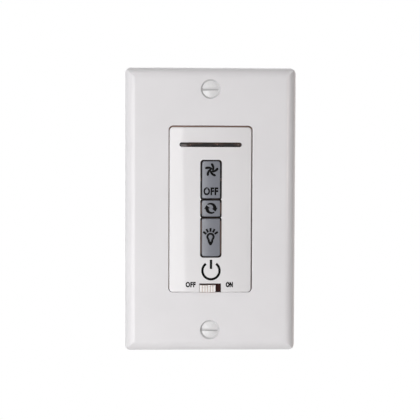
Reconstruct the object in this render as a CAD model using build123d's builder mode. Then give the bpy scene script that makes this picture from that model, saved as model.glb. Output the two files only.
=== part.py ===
from build123d import *
import math
import os

# A hard-wired wall control for a ceiling fan and its light, with its one-gang wall plate.
# Millimetres. The front faces -Y, +Z is up, and the origin lies on the wall surface, midway
# between the two screws of the wall box. A "stand" is a distance in front of the wall surface,
# so everything inside the wall box has a negative stand.

# Screw rows of the one-gang wall box: the plate screws lie a little beyond the box screws
box_screw_spacing = 83.3
box_screw_hole_radius = 2.2
plate_screw_offset = 6.75

# Wall plate
plate_width = 69.1
plate_end_margin = 8.75
plate_depth = 5.8
plate_wall = 2.0
plate_rim_wall = 1.6
plate_corner_radius = 3.3
plate_edge_radius = 4.4
plate_cavity_taper = 25
plate_cavity_radius = 2.6
opening_corner_radius = 1.7
opening_edge_radius = 0.25
opening_lip_wall = 1.4
opening_lip_clearance = 0.3

# Plate screws: raised countersunk heads with one slot
plate_screw_length = 12.7
plate_screw_radius = 1.65
plate_screw_head_radius = 3.3
plate_screw_dome = 0.75
plate_screw_hole_radius = 2.0
plate_screw_boss_radius = 4.6
countersink_radius = 3.98
countersink_angle = 82
screw_slot_width = 1.1
screw_slot_depth = 0.95
screw_tip_chamfer = 0.4
thread_clearance = 0.02
upper_slot_angle = 2
lower_slot_angle = -3

# Mounting strap
strap_thickness = 1.3
strap_end_margin = 4.4
strap_side_margin = 0.2
strap_body_margin = 1.5
strap_neck_width = 22.0
strap_ear_width = 40.0
strap_ear_length = 8.6
strap_corner_radius = 1.5
ear_score_width = 0.6
ear_score_depth = 0.5
window_side_margin = 1.25
window_clamp_margin = 4.1
window_lamp_margin = 1.55
window_switch_margin = 1.6
window_corner_radius = 1.0

# Ground screw on its tab of the strap
ground_screw_x = -13.5
ground_screw_clearance = 0.5
ground_tab_radius = 4.4
ground_screw_radius = 2.05
ground_screw_reach = 1.1
ground_slot_width = 1.2
ground_slot_depth = 1.2
ground_hex_flats = 7.6
ground_hex_height = 2.6
ground_washer_radius = 4.2
ground_washer_height = 0.7

# Face cover
face_width = 32.9
face_height = 66.3
face_left_gap = 0.29
face_right_gap = 0.45
face_top_gap = 0.64
face_bottom_gap = 0.1
face_stand = 7.1
face_crown = 1.0
face_front_wall = 1.9
face_side_wall = 1.5
face_corner_radius = 1.5
face_edge_radius = 0.5

# Indicator slot, its lens and its lamps
slot_length = 25.0
slot_height = 1.85
slot_drop = 7.0
lens_clearance = 0.1
lens_recess = 0.75
lens_flange_margin = 0.9
lens_flange_thickness = 0.8
lamp_count = 4
lamp_spacing = 5.4
lamp_radius = 1.5
lamp_base_radius = 1.85
lamp_base_height = 0.8
lamp_height = 4.4
lamp_tip_chamfer = 0.4

# Keys
key_width = 7.3
fan_key_height = 14.9
reverse_key_height = 6.5
light_key_height = 15.2
key_gap = 0.8
key_clearance = 0.68
key_end_clearance = 0.55
key_column_x = 0.22
key_column_z = 0.47
key_column_radius = 0.95
key_column_cell_radius = 1.3
key_corner_radius = 0.5
key_cell_radius = 1.2
key_proud = 0.35
key_crown = 0.3
key_edge_radius = 0.35
key_wall = 1.2
key_front_wall = 1.3
key_travel = 0.4
key_flange_reach = 0.9
key_flange_thickness = 0.8
key_flange_clearance = 0.05
key_flange_end_margin = 1.0
key_foot_radius = 1.2
key_foot_tip_chamfer = 0.8
key_foot_clearance = 0.02
key_skirt_clearance = 0.2

# Rocking fan key: two stub pins in two ears behind the face
rocker_foot_inset = 3.15
rocker_skirt_clearance = 0.45
pivot_stand = 3.9
pivot_pin_radius = 0.65
pivot_clearance = 0.05
pivot_ear_thickness = 1.2
pivot_ear_gap = 0.4
pivot_ear_width = 3.0
pivot_ear_wall = 0.75

# Power slide: ribbed knob on a dark carriage, over a small slide switch
notch_width = 8.7
notch_height = 3.6
knob_width = 6.4
knob_travel = 2.0
knob_side_clearance = 0.15
knob_top_clearance = 0.7
knob_bottom_clearance = 0.1
knob_recess = 0.1
knob_edge_radius = 0.2
knob_groove_count = 5
knob_groove_width = 0.28
knob_groove_depth = 0.4
carriage_thickness = 1.4
carriage_clearance = 0.2
carriage_cover = 2.4
carriage_wall_clearance = 0.4
carriage_top_margin = 2.0
switch_width = 10.0
switch_height = 5.4
switch_depth = 3.0
switch_rise = 5.55
lever_width = 2.0
lever_height = 2.0
lever_pocket_depth = 0.8
lever_clearance = 0.1
lever_seat = 0.4
lever_depth = 1.4

# Tactile switches
tact_size = 6.0
tact_depth = 3.4
tact_corner = 0.5
stem_radius = 1.7
stem_length = 2.1
stem_proud = 0.8
stem_clearance = 0.2
stem_tip_chamfer = 0.2
stem_pocket_spare = 0.6

# Circuit boards
board_thickness = 1.6
board_clearance = 0.3
board_stand = -0.6
board_notch_clearance = 0.3
power_board_side_clearance = 2.0
power_board_end_clearance = 6.2
power_board_stand = -15.4
power_post_radius = 2.2
power_peg_radius = 0.8
power_peg_clearance = 0.05
power_peg_proud = 0.6
power_post_side_inset = 3.5
power_post_end_inset = 4.0

# Rear housing
housing_width = 42.6
housing_overhang = 0.85
housing_depth = 27.0
housing_wall = 1.8
housing_corner_radius = 3.0
housing_edge_radius = 1.5
housing_rail_width = 2.0
housing_rail_bite = 0.8
housing_rail_pitch = 13.5
housing_rail_count = 4
lead_hole_radius = 1.7
lead_hole_spacing = 8.0
lead_hole_rise = 8.0
lead_collar_radius = 3.0
lead_collar_height = 1.2
panel_width = 26.0
panel_height = 20.0
panel_z = 6.0
panel_depth = 0.4
panel_corner_radius = 1.0

# Screws that clamp the housing, the strap and the face cover together
clamp_side_inset = 2.55
clamp_end_inset = 2.75
clamp_screw_radius = 1.3
clamp_screw_head_radius = 2.4
clamp_screw_head_height = 1.8
clamp_seat_depth = 5.0
clamp_recess_radius = 2.7
clamp_boss_radius = 3.5
clamp_hole_clearance = 0.3
clamp_face_boss_radius = 2.4
clamp_pilot_margin = 0.4
cross_recess_width = 0.8
cross_recess_length = 2.8
cross_recess_depth = 0.9

# Parts on the boards
film_capacitor_size = (17.5, 8.0, 11.0)
film_capacitor_place = (-6.5, 14.5)
film_capacitor_chamfer = 0.5
filter_capacitor_radius = 4.0
filter_capacitor_height = 11.0
filter_capacitor_chamfer = 0.5
filter_capacitor_place = (10.5, 13.5)
choke_radius = 5.5
choke_core_radius = 3.2
choke_height = 9.0
choke_flange = 1.4
choke_winding_inset = 0.4
choke_place = (-9.5, -1.5)
triac_size = (10.0, 9.0, 4.4)
triac_tab_length = 6.0
triac_tab_thickness = 1.3
triac_hole_radius = 1.8
triac_place = (8.5, -3.5)
fuse_radius = 1.9
fuse_length = 13.0
fuse_cap_length = 3.0
fuse_cap_radius = 2.15
fuse_cap_wall = 0.3
fuse_place = (-3.0, -14.0)
chip_size = (10.0, 7.4, 2.3)
chip_place = (0.0, 4.0)
chip_chamfer = 0.3
header_size = (15.2, 2.6)
header_place = (0.0, -21.0)

# Values that follow from the sizes above
plate_screw_spacing = box_screw_spacing + 2 * plate_screw_offset
plate_height = plate_screw_spacing + 2 * plate_end_margin
strap_length = plate_screw_spacing + 2 * strap_end_margin
housing_height = face_height + 2 * housing_overhang
strap_body_width = housing_width + 2 * strap_side_margin
strap_body_height = housing_height + 2 * strap_body_margin
ground_screw_z = -housing_height / 2 - ground_screw_clearance - ground_washer_radius
clamp_screw_x = face_width / 2 - clamp_side_inset
clamp_screw_z = face_height / 2 - clamp_end_inset
slot_z = face_height / 2 - slot_drop
switch_z = switch_rise - face_height / 2
rocker_foot_arm = fan_key_height / 2 - rocker_foot_inset
board_width = housing_width - 2 * housing_wall - 2 * board_clearance
board_height = housing_height - 2 * housing_wall - 2 * board_clearance
power_board_width = housing_width - 2 * housing_wall - 2 * power_board_side_clearance
power_board_height = housing_height - 2 * housing_wall - 2 * power_board_end_clearance
power_post_x = power_board_width / 2 - power_post_side_inset
power_post_z = power_board_height / 2 - power_post_end_inset
lead_hole_z = lead_hole_rise - housing_height / 2
opening_width = face_width + face_left_gap + face_right_gap
opening_height = face_height + face_top_gap + face_bottom_gap
opening_place = ((face_right_gap - face_left_gap) / 2, (face_top_gap - face_bottom_gap) / 2)
face_back_stand = face_stand - face_front_wall
face_crown_radius = ((face_width / 2) ** 2 + face_crown**2) / (2 * face_crown)
key_crown_radius = ((key_width / 2) ** 2 + key_crown**2) / (2 * key_crown)
key_stand = face_stand + key_proud
key_column_height = fan_key_height + reverse_key_height + light_key_height + 2 * key_gap
key_column_top = key_column_z + key_column_height / 2
fan_key_z = key_column_top - fan_key_height / 2
reverse_key_z = fan_key_z - fan_key_height / 2 - key_gap - reverse_key_height / 2
light_key_z = reverse_key_z - reverse_key_height / 2 - key_gap - light_key_height / 2
board_back_stand = board_stand - board_thickness
power_board_back_stand = power_board_stand - board_thickness
tact_stand = board_stand + tact_depth
stem_stand = tact_stand + stem_proud
foot_stand = stem_stand + key_foot_clearance
press_skirt_stand = tact_stand + key_travel + key_skirt_clearance
rocker_skirt_stand = tact_stand + rocker_skirt_clearance
housing_floor_stand = housing_wall - housing_depth
carriage_front_stand = face_back_stand - carriage_clearance
carriage_back_stand = carriage_front_stand - carriage_thickness
knob_left = -notch_width / 2 + knob_side_clearance
knob_right = knob_left + knob_width
notch_top_z = notch_height - face_height / 2
lever_x = -knob_travel / 2
clamp_places = [(x, z) for x in (-clamp_screw_x, clamp_screw_x) for z in (-clamp_screw_z, clamp_screw_z)]
tact_places = {
    "fan_on": fan_key_z + rocker_foot_arm,
    "fan_off": fan_key_z - rocker_foot_arm,
    "reverse": reverse_key_z,
    "light": light_key_z,
}
lamp_places = [(n - (lamp_count - 1) / 2) * lamp_spacing for n in range(lamp_count)]


def front(stand):
    """A drawing plane seen from the front, at a distance in front of the wall surface."""
    return Plane.XZ.offset(stand)


def crown_cut(top_stand, radius, middle_x, half_width):
    """The outline, seen from above, of what is cut away to leave a front crowned from side to side."""
    edge_stand = top_stand - radius + math.sqrt(radius**2 - half_width**2)
    left_x = middle_x - half_width
    right_x = middle_x + half_width
    with BuildSketch(Plane.XY) as cut:
        with BuildLine():
            ThreePointArc((left_x, -edge_stand), (middle_x, -top_stand), (right_x, -edge_stand))
            Polyline(
                (right_x, -edge_stand),
                (right_x, -2 * top_stand),
                (left_x, -2 * top_stand),
                (left_x, -edge_stand),
            )
        make_face()
    return cut.sketch


def save(part, name):
    """Labels a finished piece and writes its STEP file."""
    part.label = name
    export_step(part, f"parts/{name}.step")


def hollow_cap(height, centre_z, back_stand):
    """Adds a hollow key cap with rounded front edges, open at its back, to the key being built."""
    with BuildSketch(front(back_stand)) as cap_outline:
        with Locations((key_column_x, centre_z)):
            RectangleRounded(key_width, height, key_corner_radius)
        with Locations((key_column_x, key_column_z)):
            RectangleRounded(key_width, key_column_height, key_column_radius, mode=Mode.INTERSECT)
    extrude(cap_outline.sketch, amount=key_stand + key_crown - back_stand)
    crown = crown_cut(key_stand, key_crown_radius, key_column_x, key_width / 2 + key_clearance)
    extrude(crown, amount=plate_height, both=True, mode=Mode.SUBTRACT)
    fillet(faces().sort_by(Axis.Y)[0].outer_wire().edges(), key_edge_radius)
    with BuildSketch(front(back_stand)) as cap_hollow:
        with Locations((key_column_x, centre_z)):
            Rectangle(key_width - 2 * key_wall, height - 2 * key_wall)
    extrude(cap_hollow.sketch, amount=key_stand - key_front_wall - back_stand, mode=Mode.SUBTRACT)


def key_foot(centre_z):
    """Adds a post from the front wall of a cap down to a switch stem, with a bevelled tip."""
    with BuildSketch(front(foot_stand)) as foot_outline:
        with Locations((key_column_x, centre_z)):
            Circle(key_foot_radius)
    extrude(foot_outline.sketch, amount=key_stand - key_front_wall - foot_stand)
    tips = edges().filter_by(GeomType.CIRCLE).sort_by_distance((key_column_x, -foot_stand, centre_z))
    chamfer(tips[0], key_foot_tip_chamfer)


def pressed_key(height, centre_z):
    """A key that is pushed straight in: cap, one foot, and a flange that holds it behind the face."""
    flange_stand = face_back_stand - key_flange_clearance - key_flange_thickness
    flange_width = key_width + 2 * (key_clearance + key_flange_reach)
    with BuildPart() as key:
        hollow_cap(height, centre_z, press_skirt_stand)
        with BuildSketch(front(flange_stand)):
            with Locations((key_column_x, centre_z)):
                Rectangle(flange_width, height - 2 * key_flange_end_margin)
                Rectangle(key_width - key_wall, height - 2 * key_wall, mode=Mode.SUBTRACT)
        extrude(amount=key_flange_thickness)
        key_foot(centre_z)
    return key.part


os.makedirs("parts", exist_ok=True)

# Wall plate: a shallow shell whose edges curve back to the wall and meet in mitres at the corners
with BuildPart() as wall_plate:
    with BuildSketch(Plane.XY) as side_profile:
        with Locations((0, -plate_depth / 2)):
            Rectangle(plate_width, plate_depth)
        fillet(side_profile.vertices().group_by(Axis.Y)[0], plate_edge_radius)
    extrude(amount=plate_height / 2, both=True)
    with BuildSketch(Plane.YZ) as end_profile:
        with Locations((-plate_depth / 2, 0)):
            Rectangle(plate_depth, plate_height)
        fillet(end_profile.vertices().group_by(Axis.X)[0], plate_edge_radius)
    extrude(amount=plate_width / 2, both=True, mode=Mode.INTERSECT)
    with BuildSketch(front(0)):
        RectangleRounded(plate_width, plate_height, plate_corner_radius)
    extrude(amount=plate_depth, mode=Mode.INTERSECT)
    with BuildSketch(front(0)):
        RectangleRounded(
            plate_width - 2 * plate_rim_wall, plate_height - 2 * plate_rim_wall, plate_cavity_radius
        )
    extrude(amount=plate_depth - plate_wall, taper=plate_cavity_taper, mode=Mode.SUBTRACT)
    with BuildSketch(front(strap_thickness + opening_lip_clearance)):
        with Locations(opening_place):
            RectangleRounded(
                opening_width + 2 * opening_lip_wall,
                opening_height + 2 * opening_lip_wall,
                opening_corner_radius,
            )
    extrude(amount=plate_depth - plate_wall - strap_thickness - opening_lip_clearance)
    with BuildSketch(front(strap_thickness)):
        with GridLocations(0, plate_screw_spacing, 1, 2):
            Circle(plate_screw_boss_radius)
    extrude(amount=plate_depth - plate_wall - strap_thickness)
    with BuildSketch(front(0)):
        with Locations(opening_place):
            RectangleRounded(opening_width, opening_height, opening_corner_radius)
    extrude(amount=plate_depth, mode=Mode.SUBTRACT)
    with Locations(front(plate_depth)):
        with GridLocations(0, plate_screw_spacing, 1, 2):
            CounterSinkHole(plate_screw_hole_radius, countersink_radius, counter_sink_angle=countersink_angle)
    plate_face = wall_plate.faces().sort_by(Axis.Y)[0]
    fillet(plate_face.inner_wires().sort_by(SortBy.LENGTH)[-1].edges(), opening_edge_radius)
save(wall_plate.part, "wall_plate")

# Plate screws: each head rests in its countersink, a little below the plate's face
head_slope = math.tan(math.radians(countersink_angle / 2))
head_rim_stand = plate_depth - (countersink_radius - plate_screw_head_radius) / head_slope
head_neck_stand = head_rim_stand - (plate_screw_head_radius - plate_screw_radius) / head_slope
head_top_stand = head_rim_stand + plate_screw_dome
screw_tip_stand = head_top_stand - plate_screw_length
dome_radius = (plate_screw_head_radius**2 + plate_screw_dome**2) / (2 * plate_screw_dome)
dome_turn = math.asin(plate_screw_head_radius / dome_radius) / 2
dome_middle_stand = head_top_stand - dome_radius * (1 - math.cos(dome_turn))
with BuildPart() as plate_screws:
    with BuildSketch(Plane.XY.offset(plate_screw_spacing / 2)):
        with BuildLine():
            Polyline(
                (0, -head_top_stand),
                (0, -screw_tip_stand),
                (plate_screw_radius - screw_tip_chamfer, -screw_tip_stand),
                (plate_screw_radius, -screw_tip_stand - screw_tip_chamfer),
                (plate_screw_radius, -head_neck_stand),
                (plate_screw_head_radius, -head_rim_stand),
            )
            ThreePointArc(
                (plate_screw_head_radius, -head_rim_stand),
                (dome_radius * math.sin(dome_turn), -dome_middle_stand),
                (0, -head_top_stand),
            )
        make_face()
    revolve(axis=Axis((0, 0, plate_screw_spacing / 2), (0, 1, 0)))
    mirror(about=Plane.XY)
    for side, slot_angle in ((1, upper_slot_angle), (-1, lower_slot_angle)):
        with BuildSketch(front(head_top_stand)):
            with Locations(Location((0, side * plate_screw_spacing / 2), slot_angle)):
                Rectangle(3 * plate_screw_head_radius, screw_slot_width)
        extrude(amount=-screw_slot_depth, mode=Mode.SUBTRACT)
save(plate_screws.part, "plate_screws")

# Mounting strap: a flat steel stamping with scored ears and a ground tab
window_width = face_width - 2 * window_side_margin
window_height = 2 * clamp_screw_z - 2 * window_clamp_margin
window_lamp_width = (lamp_count - 1) * lamp_spacing + 2 * lamp_base_radius + 2 * window_lamp_margin
window_switch_width = switch_width + 2 * window_switch_margin
window_top_z = slot_z + lamp_base_radius + window_corner_radius
window_bottom_z = -face_height / 2
tab_drop = -ground_screw_z - strap_body_height / 2
with BuildPart() as mounting_strap:
    with BuildSketch(front(0)) as strap_outline:
        Rectangle(strap_body_width, strap_body_height)
        Rectangle(strap_neck_width, strap_length)
        with GridLocations(0, strap_length - strap_ear_length, 1, 2):
            Rectangle(strap_ear_width, strap_ear_length)
        fillet(strap_outline.vertices(), strap_corner_radius)
        with Locations((ground_screw_x, ground_screw_z)):
            Circle(ground_tab_radius)
        with Locations((ground_screw_x, ground_screw_z + tab_drop / 2)):
            Rectangle(2 * ground_tab_radius, tab_drop)
        with BuildSketch(mode=Mode.SUBTRACT) as strap_window:
            Rectangle(window_width, window_height)
            with Locations((0, window_top_z / 2)):
                Rectangle(window_lamp_width, window_top_z)
            with Locations((0, window_bottom_z / 2)):
                Rectangle(window_switch_width, -window_bottom_z)
            fillet(strap_window.vertices(), window_corner_radius)
        with Locations(*clamp_places):
            Circle(clamp_screw_radius + clamp_hole_clearance, mode=Mode.SUBTRACT)
        with GridLocations(0, box_screw_spacing, 1, 2):
            Circle(box_screw_hole_radius, mode=Mode.SUBTRACT)
        with GridLocations(0, plate_screw_spacing, 1, 2):
            Circle(plate_screw_radius + thread_clearance, mode=Mode.SUBTRACT)
        with Locations((ground_screw_x, ground_screw_z)):
            Circle(ground_screw_radius + thread_clearance, mode=Mode.SUBTRACT)
    extrude(amount=strap_thickness)
    with BuildSketch(front(strap_thickness)):
        with GridLocations(strap_neck_width + ear_score_width, strap_length - strap_ear_length, 2, 2):
            Rectangle(ear_score_width, 2 * strap_ear_length)
    extrude(amount=-ear_score_depth, mode=Mode.SUBTRACT)
save(mounting_strap.part, "mounting_strap")

# Ground screw: hexagonal washer head at the back of its tab
with BuildPart() as ground_screw:
    with BuildSketch(front(0)):
        with Locations((ground_screw_x, ground_screw_z)):
            Circle(ground_screw_radius)
    extrude(amount=strap_thickness + ground_screw_reach)
    chamfer(edges().group_by(Axis.Y)[0], screw_tip_chamfer)
    with BuildSketch(front(0)):
        with Locations((ground_screw_x, ground_screw_z)):
            Circle(ground_washer_radius)
    extrude(amount=-ground_washer_height)
    with BuildSketch(front(0)):
        with Locations((ground_screw_x, ground_screw_z)):
            RegularPolygon(ground_hex_flats / 2, 6, major_radius=False)
    extrude(amount=-ground_hex_height)
    with BuildSketch(front(-ground_hex_height)):
        with Locations((ground_screw_x, ground_screw_z)):
            Rectangle(2 * ground_hex_flats, ground_slot_width)
    extrude(amount=ground_slot_depth, mode=Mode.SUBTRACT)
save(ground_screw.part, "ground_screw")

# Face cover: crowned from side to side, open at its back, cut for the keys, the lens and the slide
carriage_room = notch_width + 2 * (carriage_cover + knob_travel + carriage_wall_clearance)
key_cell_width = key_width + 2 * key_clearance
with BuildPart() as face_cover:
    with BuildSketch(front(strap_thickness)):
        RectangleRounded(face_width, face_height, face_corner_radius)
    extrude(amount=face_stand + face_crown - strap_thickness)
    face_crown_cut = crown_cut(face_stand, face_crown_radius, 0, face_width / 2 + face_edge_radius)
    extrude(face_crown_cut, amount=face_height, both=True, mode=Mode.SUBTRACT)
    fillet(faces().sort_by(Axis.Y)[0].outer_wire().edges(), face_edge_radius)
    with BuildSketch(front(strap_thickness)):
        Rectangle(face_width - 2 * face_side_wall, face_height - 2 * face_side_wall)
    extrude(amount=face_back_stand - strap_thickness, mode=Mode.SUBTRACT)
    with BuildSketch(front(strap_thickness)):
        with Locations(*clamp_places):
            Circle(clamp_face_boss_radius)
    extrude(amount=face_back_stand - strap_thickness)
    with BuildSketch(front(strap_thickness)):
        with Locations(*clamp_places):
            Circle(clamp_screw_radius + thread_clearance)
    extrude(amount=face_back_stand - clamp_pilot_margin - strap_thickness, mode=Mode.SUBTRACT)
    ear_x = key_width / 2 + key_clearance + pivot_ear_gap
    ear_back_stand = pivot_stand - pivot_pin_radius - pivot_clearance - pivot_ear_wall
    for side in (-1, 1):
        with BuildSketch(Plane.YZ.offset(key_column_x + side * ear_x)):
            with Locations((-(ear_back_stand + face_back_stand) / 2, fan_key_z)):
                Rectangle(face_back_stand - ear_back_stand, pivot_ear_width)
            with Locations((-pivot_stand, fan_key_z)):
                Circle(pivot_pin_radius + pivot_clearance, mode=Mode.SUBTRACT)
        extrude(amount=side * pivot_ear_thickness)
    with BuildSketch(front(face_back_stand)):
        for height, centre_z in (
            (fan_key_height, fan_key_z),
            (reverse_key_height, reverse_key_z),
            (light_key_height, light_key_z),
        ):
            with Locations((key_column_x, centre_z)):
                RectangleRounded(key_cell_width, height + 2 * key_clearance, key_cell_radius)
        with Locations((key_column_x, key_column_z)):
            RectangleRounded(
                key_cell_width,
                key_column_height + 2 * key_end_clearance,
                key_column_cell_radius,
                mode=Mode.INTERSECT,
            )
        with Locations((0, slot_z)):
            SlotOverall(slot_length, slot_height)
        with Locations((0, notch_top_z - notch_height)):
            Rectangle(notch_width, 2 * notch_height)
    extrude(amount=face_stand, mode=Mode.SUBTRACT)
    with BuildSketch(front(strap_thickness)):
        with Locations((0, -face_height / 2)):
            Rectangle(carriage_room, 2 * face_side_wall)
    extrude(amount=face_back_stand - strap_thickness, mode=Mode.SUBTRACT)
save(face_cover.part, "face_cover")

# Indicator lens: a dark tongue in the slot, on a flange behind the face
with BuildPart() as indicator_lens:
    with BuildSketch(front(face_back_stand)):
        with Locations((0, slot_z)):
            Rectangle(slot_length + 2 * lens_flange_margin, slot_height + 2 * lens_flange_margin)
    extrude(amount=-lens_flange_thickness)
    with BuildSketch(front(face_back_stand)):
        with Locations((0, slot_z)):
            SlotOverall(slot_length - 2 * lens_clearance, slot_height - 2 * lens_clearance)
    extrude(amount=face_front_wall - lens_recess)
save(indicator_lens.part, "indicator_lens")

# Indicator lamps: round leaded lamps behind the lens
for number, lamp_x in enumerate(lamp_places, start=1):
    with BuildPart() as lamp:
        with BuildSketch(front(board_stand)):
            with Locations((lamp_x, slot_z)):
                Circle(lamp_radius)
        extrude(amount=lamp_height)
        chamfer(edges().group_by(Axis.Y)[0], lamp_tip_chamfer)
        with BuildSketch(front(board_stand)):
            with Locations((lamp_x, slot_z)):
                Circle(lamp_base_radius)
        extrude(amount=lamp_base_height)
    save(lamp.part, f"indicator_lamp_{number}")

# Fan key: rocks on two stub pins and works two switches
with BuildPart() as fan_key:
    hollow_cap(fan_key_height, fan_key_z, rocker_skirt_stand)
    key_foot(fan_key_z + rocker_foot_arm)
    key_foot(fan_key_z - rocker_foot_arm)
    for side in (-1, 1):
        with BuildSketch(Plane.YZ.offset(key_column_x + side * (key_width - key_wall) / 2)):
            with Locations((-pivot_stand, fan_key_z)):
                Circle(pivot_pin_radius)
        extrude(amount=side * (ear_x + pivot_ear_thickness - (key_width - key_wall) / 2))
save(fan_key.part, "fan_key")

# Reverse and light keys: pushed straight in
save(pressed_key(reverse_key_height, reverse_key_z), "reverse_key")
save(pressed_key(light_key_height, light_key_z), "light_key")

# Tactile switches and their stems
for name, tact_z in tact_places.items():
    with BuildPart() as tact:
        with BuildSketch(front(board_stand)) as tact_outline:
            with Locations((key_column_x, tact_z)):
                Rectangle(tact_size, tact_size)
            chamfer(tact_outline.vertices(), tact_corner)
        extrude(amount=tact_depth)
        with BuildSketch(front(tact_stand)):
            with Locations((key_column_x, tact_z)):
                Circle(stem_radius + stem_clearance)
        extrude(amount=stem_proud - stem_length - stem_pocket_spare, mode=Mode.SUBTRACT)
    save(tact.part, f"{name}_switch")
    with BuildPart() as stem:
        with BuildSketch(front(stem_stand)):
            with Locations((key_column_x, tact_z)):
                Circle(stem_radius)
        extrude(amount=-stem_length)
        chamfer(edges().group_by(Axis.Y)[0], stem_tip_chamfer)
    save(stem.part, f"{name}_stem")

# Slide knob: a ribbed cap in the notch at the foot of the face
knob_bottom_z = knob_bottom_clearance - face_height / 2
knob_top_z = notch_top_z - knob_top_clearance
knob_middle = ((knob_left + knob_right) / 2, (knob_bottom_z + knob_top_z) / 2)
knob_pitch = knob_width / (knob_groove_count + 1)
with BuildPart() as slide_knob:
    with BuildSketch(front(carriage_front_stand)):
        with Locations(knob_middle):
            Rectangle(knob_width, knob_top_z - knob_bottom_z)
    extrude(amount=face_stand - knob_recess - carriage_front_stand)
    fillet(edges().group_by(Axis.Y)[0], knob_edge_radius)
    with BuildSketch(front(face_stand - knob_recess)):
        with Locations(knob_middle):
            with GridLocations(knob_pitch, 0, knob_groove_count, 1):
                Rectangle(knob_groove_width, 2 * knob_top_z - 2 * knob_bottom_z)
    extrude(amount=-knob_groove_depth, mode=Mode.SUBTRACT)
save(slide_knob.part, "slide_knob")

# Slide carriage: a dark plate behind the face that carries the knob and closes the notch
carriage_left = -notch_width / 2 - carriage_cover - knob_travel
carriage_right = notch_width / 2 + carriage_cover
carriage_top_z = switch_z + lever_height / 2 + carriage_top_margin
with BuildPart() as slide_carriage:
    with BuildSketch(front(carriage_back_stand)):
        with Locations(((carriage_left + carriage_right) / 2, (knob_bottom_z + carriage_top_z) / 2)):
            Rectangle(carriage_right - carriage_left, carriage_top_z - knob_bottom_z)
    extrude(amount=carriage_thickness)
    with BuildSketch(front(carriage_back_stand)):
        with Locations((lever_x, switch_z)):
            Rectangle(lever_width + 2 * lever_clearance, lever_height + 2 * lever_clearance)
    extrude(amount=lever_pocket_depth, mode=Mode.SUBTRACT)
save(slide_carriage.part, "slide_carriage")

# Slide switch on the board, and its lever
switch_stand = board_stand + switch_depth
with BuildPart() as slide_switch:
    with BuildSketch(front(board_stand)):
        with Locations((0, switch_z)):
            Rectangle(switch_width, switch_height)
    extrude(amount=switch_depth)
    with BuildSketch(front(switch_stand)):
        with Locations((0, switch_z)):
            Rectangle(
                lever_width + knob_travel + 4 * lever_clearance, lever_height + 2 * lever_clearance
            )
    extrude(amount=-lever_depth - 2 * lever_clearance, mode=Mode.SUBTRACT)
save(slide_switch.part, "slide_switch")
with BuildPart() as slide_lever:
    with BuildSketch(front(switch_stand - lever_depth)):
        with Locations((lever_x, switch_z)):
            Rectangle(lever_width, lever_height)
    extrude(amount=carriage_back_stand + lever_seat - switch_stand + lever_depth)
save(slide_lever.part, "slide_lever")

# Control board, notched at its corners round the housing's screw bosses
notch_reach = clamp_boss_radius + board_notch_clearance
with BuildPart() as control_board:
    with BuildSketch(front(board_back_stand)):
        Rectangle(board_width, board_height)
        with GridLocations(board_width, board_height, 2, 2):
            Rectangle(
                board_width - 2 * clamp_screw_x + 2 * notch_reach,
                board_height - 2 * clamp_screw_z + 2 * notch_reach,
                mode=Mode.SUBTRACT,
            )
    extrude(amount=board_thickness)
save(control_board.part, "control_board")

# Power board, on four pegged posts of the housing
with BuildPart() as power_board:
    with BuildSketch(front(power_board_back_stand)):
        Rectangle(power_board_width, power_board_height)
        with GridLocations(2 * power_post_x, 2 * power_post_z, 2, 2):
            Circle(power_peg_radius + power_peg_clearance, mode=Mode.SUBTRACT)
    extrude(amount=board_thickness)
save(power_board.part, "power_board")

# Pin header between the two boards
with BuildPart() as board_header:
    with BuildSketch(front(power_board_stand)):
        with Locations(header_place):
            Rectangle(*header_size)
    extrude(amount=board_back_stand - power_board_stand)
save(board_header.part, "board_header")

# Rear housing: a deep box with screw bosses, board rails, board posts and lead holes
rail_reach = board_clearance + housing_rail_bite
rail_spacing = housing_width - 2 * housing_wall - rail_reach
with BuildPart() as rear_housing:
    with BuildSketch(front(-housing_depth)):
        RectangleRounded(housing_width, housing_height, housing_corner_radius)
    extrude(amount=housing_depth)
    fillet(edges().group_by(Axis.Y)[-1], housing_edge_radius)
    with BuildSketch(front(housing_floor_stand)):
        RectangleRounded(
            housing_width - 2 * housing_wall,
            housing_height - 2 * housing_wall,
            housing_corner_radius - housing_wall,
        )
    extrude(amount=-housing_floor_stand, mode=Mode.SUBTRACT)
    with BuildSketch(front(housing_floor_stand)):
        with Locations(*clamp_places):
            Circle(clamp_boss_radius)
    extrude(amount=-housing_floor_stand)
    with BuildSketch(front(housing_floor_stand)):
        with GridLocations(rail_spacing, housing_rail_pitch, 2, housing_rail_count):
            Rectangle(rail_reach, housing_rail_width)
    extrude(amount=board_back_stand - housing_floor_stand)
    with BuildSketch(front(housing_floor_stand)):
        with GridLocations(2 * power_post_x, 2 * power_post_z, 2, 2):
            Circle(power_post_radius)
    extrude(amount=power_board_back_stand - housing_floor_stand)
    with BuildSketch(front(power_board_back_stand)):
        with GridLocations(2 * power_post_x, 2 * power_post_z, 2, 2):
            Circle(power_peg_radius)
    extrude(amount=board_thickness + power_peg_proud)
    with BuildSketch(front(-housing_depth - lead_collar_height)):
        with Locations((0, lead_hole_z)):
            with GridLocations(lead_hole_spacing, 0, 3, 1):
                Circle(lead_collar_radius)
    extrude(amount=lead_collar_height)
    with BuildSketch(front(-housing_depth - lead_collar_height)):
        with Locations((0, lead_hole_z)):
            with GridLocations(lead_hole_spacing, 0, 3, 1):
                Circle(lead_hole_radius)
    extrude(amount=lead_collar_height + housing_wall, mode=Mode.SUBTRACT)
    with BuildSketch(front(-housing_depth)):
        with Locations(*clamp_places):
            Circle(clamp_recess_radius)
    extrude(amount=housing_depth - clamp_seat_depth, mode=Mode.SUBTRACT)
    with BuildSketch(front(-clamp_seat_depth)):
        with Locations(*clamp_places):
            Circle(clamp_screw_radius + clamp_hole_clearance)
    extrude(amount=clamp_seat_depth, mode=Mode.SUBTRACT)
    with BuildSketch(front(-housing_depth)):
        with Locations((0, panel_z)):
            RectangleRounded(panel_width, panel_height, panel_corner_radius)
    extrude(amount=panel_depth, mode=Mode.SUBTRACT)
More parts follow.
